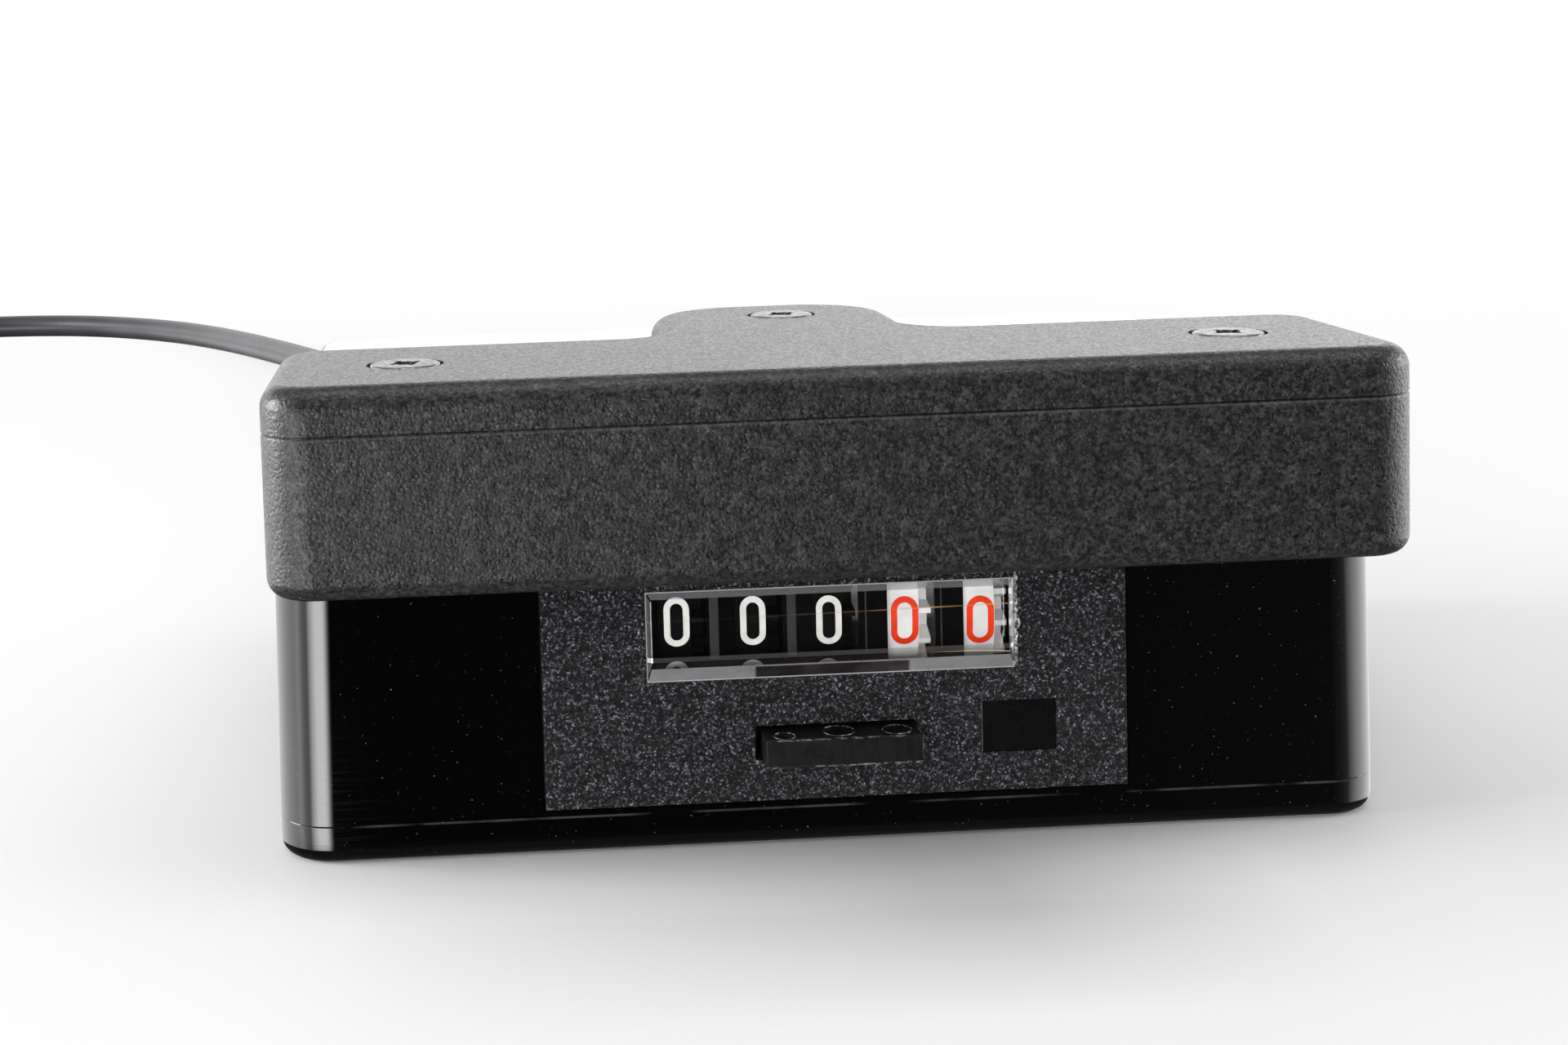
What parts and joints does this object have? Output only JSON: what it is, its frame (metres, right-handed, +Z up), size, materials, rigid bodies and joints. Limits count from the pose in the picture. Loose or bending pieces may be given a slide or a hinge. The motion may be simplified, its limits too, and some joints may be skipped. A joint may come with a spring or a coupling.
{
  "type": "trip meter",
  "caption": "Glossy black trip meter box with a five-wheel counter, reset button, matte lamp hood on three screws and a rear lead.",
  "frame": {"origin": "middle of the footprint of case and hood, without the lead, on the surface the case stands on", "axes": "+X to the right seen from the front, +Y to the back where the lead leaves, +Z up"},
  "size_m": [0.3073, 0.432, 0.0446],
  "materials": {
    "case_gloss": "moulded, glossy black",
    "hood_matte": "fine pebbled matte black",
    "bezel_matte": "fine textured dark grey",
    "black_plastic": "satin black",
    "button_matte": "fine grained black",
    "rocker_plastic": "satin grey",
    "plated_screws": "bright plated",
    "screw_steel": "zinc plated",
    "frame_steel": "plain steel",
    "terminal_brass": "plain",
    "copper_wire": "enamelled copper",
    "diffuser": "milky",
    "lens_clear": "clear, polished",
    "lamp_yellow": "phosphor yellow",
    "white_board": "white solder mask",
    "green_board": "green solder mask",
    "wheel_black": "satin, white figures",
    "wheel_white": "satin, red figures",
    "pinion_plastic": "natural nylon",
    "capacitor_blue": "printed sleeve",
    "block_blue": "moulded blue",
    "red_wire": "insulation",
    "lead_rubber": "dark grey jacket",
    "tie_plastic": "black",
    "core_red": "insulation",
    "core_black": "insulation",
    "core_white": "insulation"
  },
  "bodies": {
    "case": {"case_shell": "case_gloss", "base_plate": "case_gloss", "base_screws": "screw_steel", "hood_body": "hood_matte", "hood_lid": "hood_matte", "lid_screws": "plated_screws", "lamp_diffuser": "diffuser", "lamp_board": "white_board", "lamp_leds": "lamp_yellow", "lamp_lead": "red_wire", "counter_bezel": "bezel_matte", "counter_lens": "lens_clear", "lock_blank": "case_gloss", "digit_mask": "black_plastic", "counter_sleeve": "black_plastic", "mounting_clip": "black_plastic", "frame_left": "frame_steel", "frame_right": "frame_steel", "frame_bars": "frame_steel", "wheel_shaft": "frame_steel", "pinion_shaft": "frame_steel", "reset_springs": "frame_steel", "reset_shaft": "frame_steel", "magnet_yoke": "frame_steel", "coil_bobbin": "pinion_plastic", "coil_winding": "copper_wire", "armature_spring": "frame_steel", "terminal_plate": "black_plastic", "terminal_pins": "terminal_brass", "counter_lead": "red_wire", "main_board": "green_board", "board_screws": "screw_steel", "chips": "black_plastic", "capacitors": "capacitor_blue", "regulator": "black_plastic", "board_socket": "pinion_plastic", "terminal_block": "block_blue", "inner_cores": "red_wire", "cable_relief": "lead_rubber", "cable": "lead_rubber", "cable_coil": "lead_rubber", "cable_tail": "lead_rubber", "cable_tie": "tie_plastic", "lead_sleeve": "tie_plastic", "core_red": "core_red", "core_black": "core_black", "core_white": "core_white"},
    "reset_bar": {"reset_bar": "button_matte"},
    "reset_rocker": {"reset_rocker": "rocker_plastic"},
    "armature": {"armature": "frame_steel"},
    "wheel_hundreds": {"wheel_hundreds": "wheel_black"},
    "wheel_tens": {"wheel_tens": "wheel_black"},
    "wheel_units": {"wheel_units": "wheel_black"},
    "wheel_tenths": {"wheel_tenths": "wheel_white"},
    "wheel_hundredths": {"wheel_hundredths": "wheel_white"},
    "pinion_hundreds": {"pinion_hundreds": "pinion_plastic"},
    "pinion_tens": {"pinion_tens": "pinion_plastic"},
    "pinion_units": {"pinion_units": "pinion_plastic"},
    "pinion_tenths": {"pinion_tenths": "pinion_plastic"}
  },
  "joints": [
    {"name": "reset_slide", "type": "slide", "parent": "case", "child": "reset_bar", "axis": [0, 1, 0], "range_m": [0, 0.0025], "stiffness_N_per_m": 1200, "springref_m": -0.002, "deforming": ["reset_springs"]},
    {"name": "reset_rocker_turn", "type": "hinge", "parent": "case", "child": "reset_rocker", "pos_m": [0, -0.009, 0.0147], "axis": [1, 0, 0], "range_deg": [0, 25]},
    {"name": "wheel_hundreds_turn", "type": "hinge", "parent": "case", "child": "wheel_hundreds", "pos_m": [0, -0.0204, 0.0197], "axis": [1, 0, 0], "continuous": true},
    {"name": "wheel_tens_turn", "type": "hinge", "parent": "case", "child": "wheel_tens", "pos_m": [0, -0.0204, 0.0197], "axis": [1, 0, 0], "continuous": true},
    {"name": "wheel_units_turn", "type": "hinge", "parent": "case", "child": "wheel_units", "pos_m": [0, -0.0204, 0.0197], "axis": [1, 0, 0], "continuous": true},
    {"name": "wheel_tenths_turn", "type": "hinge", "parent": "case", "child": "wheel_tenths", "pos_m": [0, -0.0204, 0.0197], "axis": [1, 0, 0], "continuous": true},
    {"name": "wheel_hundredths_turn", "type": "hinge", "parent": "case", "child": "wheel_hundredths", "pos_m": [0, -0.0204, 0.0197], "axis": [1, 0, 0], "continuous": true},
    {"name": "pinion_hundreds_turn", "type": "hinge", "parent": "case", "child": "pinion_hundreds", "pos_m": [0, -0.00943, 0.02481], "axis": [1, 0, 0], "continuous": true},
    {"name": "pinion_tens_turn", "type": "hinge", "parent": "case", "child": "pinion_tens", "pos_m": [0, -0.00943, 0.02481], "axis": [1, 0, 0], "continuous": true},
    {"name": "pinion_units_turn", "type": "hinge", "parent": "case", "child": "pinion_units", "pos_m": [0, -0.00943, 0.02481], "axis": [1, 0, 0], "continuous": true},
    {"name": "pinion_tenths_turn", "type": "hinge", "parent": "case", "child": "pinion_tenths", "pos_m": [0, -0.00943, 0.02481], "axis": [1, 0, 0], "continuous": true},
    {"name": "armature_tilt", "type": "hinge", "parent": "case", "child": "armature", "pos_m": [0.008, 0.0082, 0.0258], "axis": [1, 0, 0], "range_deg": [0, 1.5], "stiffness_Nm_per_rad": 0.03, "springref_deg": -5.73, "deforming": ["armature_spring"]}
  ],
  "couplings": [
    {"joint": "reset_rocker_turn", "follows": "reset_slide", "rad_per_m": 174.53},
    {"joint": "wheel_tenths_turn", "follows": "wheel_hundredths_turn", "ratio": 0.1},
    {"joint": "wheel_units_turn", "follows": "wheel_hundredths_turn", "ratio": 0.01},
    {"joint": "wheel_tens_turn", "follows": "wheel_hundredths_turn", "ratio": 0.001},
    {"joint": "wheel_hundreds_turn", "follows": "wheel_hundredths_turn", "ratio": 0.0001},
    {"joint": "pinion_tenths_turn", "follows": "wheel_hundredths_turn", "ratio": -0.25},
    {"joint": "pinion_units_turn", "follows": "wheel_hundredths_turn", "ratio": -0.025},
    {"joint": "pinion_tens_turn", "follows": "wheel_hundredths_turn", "ratio": -0.0025},
    {"joint": "pinion_hundreds_turn", "follows": "wheel_hundredths_turn", "ratio": -0.00025}
  ]
}
